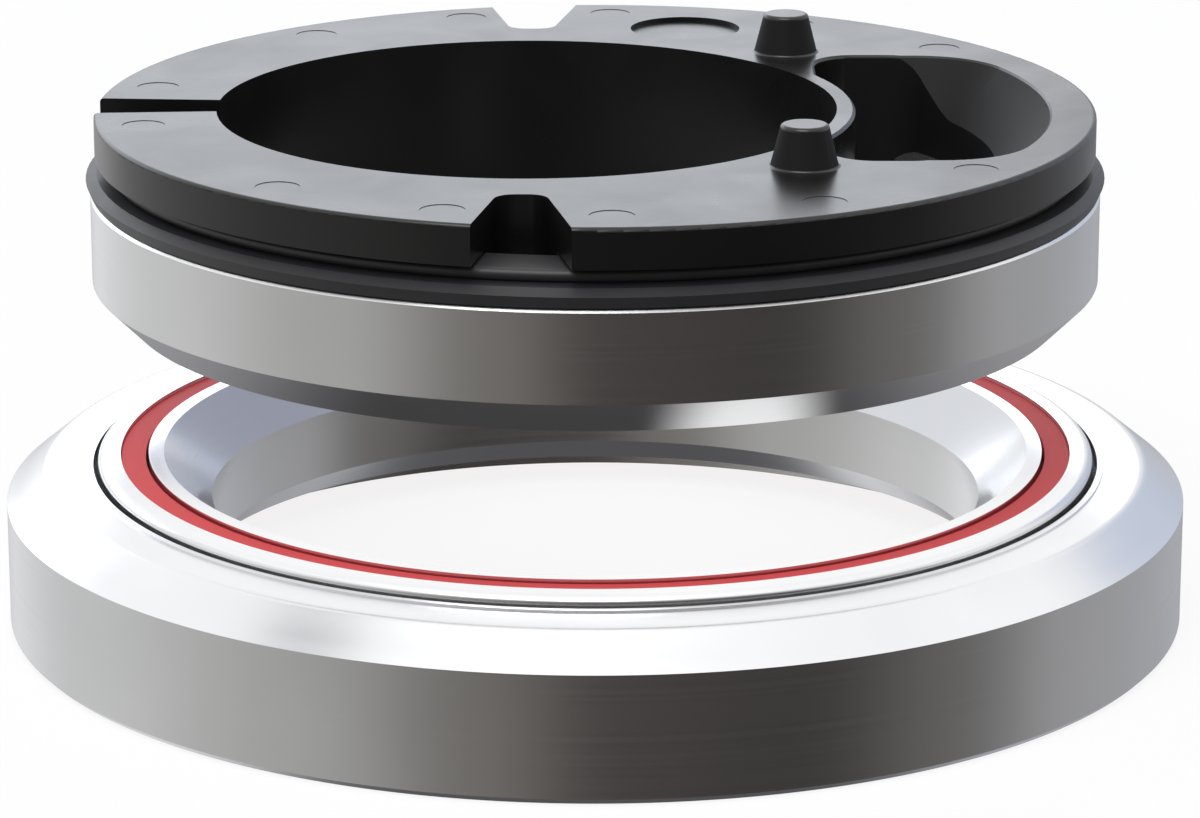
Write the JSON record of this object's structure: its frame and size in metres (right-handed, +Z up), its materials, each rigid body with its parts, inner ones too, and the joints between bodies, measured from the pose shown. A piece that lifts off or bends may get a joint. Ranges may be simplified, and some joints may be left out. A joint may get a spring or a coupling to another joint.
{
  "type": "bicycle headset",
  "caption": "Bicycle headset: sealed upper bearing under a split compression ring with a cable port and off-centre steerer bore, above a sealed lower bearing in an adapter cup.",
  "frame": {"origin": "on the steering axis, at the bottom face of the lower cup", "axes": "+Z up along the steering axis, +X from the split towards the cable port, +Y completes the right hand"},
  "size_m": [0.0616, 0.0616, 0.0289],
  "materials": {
    "ring_plastic": "black moulded plastic with a fine satin texture",
    "seal_black_rubber": "soft black rubber",
    "race_steel": "ground bearing steel with fine turning marks",
    "cup_steel": "turned steel, satin",
    "ball_steel": "polished bearing steel",
    "cage_plastic": "natural moulded plastic",
    "seal_red_rubber": "red seal rubber"
  },
  "bodies": {
    "head_tube_side": {"lower_cup": "cup_steel", "lower_outer_race": "race_steel", "lower_top_seal": "seal_red_rubber", "lower_bottom_seal": "seal_red_rubber", "upper_outer_race": "race_steel", "upper_top_seal": "seal_red_rubber", "upper_bottom_seal": "seal_red_rubber"},
    "upper_steerer_side": {"compression_ring": "ring_plastic", "dust_seal": "seal_black_rubber", "upper_inner_race": "race_steel"},
    "upper_ball_set": {"upper_balls": "ball_steel", "upper_ball_cage": "cage_plastic"},
    "lower_steerer_side": {"lower_inner_race": "race_steel"},
    "lower_ball_set": {"lower_balls": "ball_steel", "lower_ball_cage": "cage_plastic"}
  },
  "joints": [
    {"name": "upper_turn", "type": "hinge", "parent": "head_tube_side", "child": "upper_steerer_side", "pos_m": [0, 0, 0.0197], "axis": [0, 0, 1], "continuous": true},
    {"name": "upper_ball_roll", "type": "hinge", "parent": "head_tube_side", "child": "upper_ball_set", "pos_m": [0, 0, 0.0197], "axis": [0, 0, 1], "continuous": true},
    {"name": "lower_turn", "type": "hinge", "parent": "head_tube_side", "child": "lower_steerer_side", "pos_m": [0, 0, 0.00515], "axis": [0, 0, 1], "continuous": true},
    {"name": "lower_ball_roll", "type": "hinge", "parent": "head_tube_side", "child": "lower_ball_set", "pos_m": [0, 0, 0.00515], "axis": [0, 0, 1], "continuous": true}
  ],
  "couplings": [
    {"joint": "upper_ball_roll", "follows": "upper_turn", "ratio": 0.4807},
    {"joint": "lower_ball_roll", "follows": "lower_turn", "ratio": 0.4816}
  ]
}
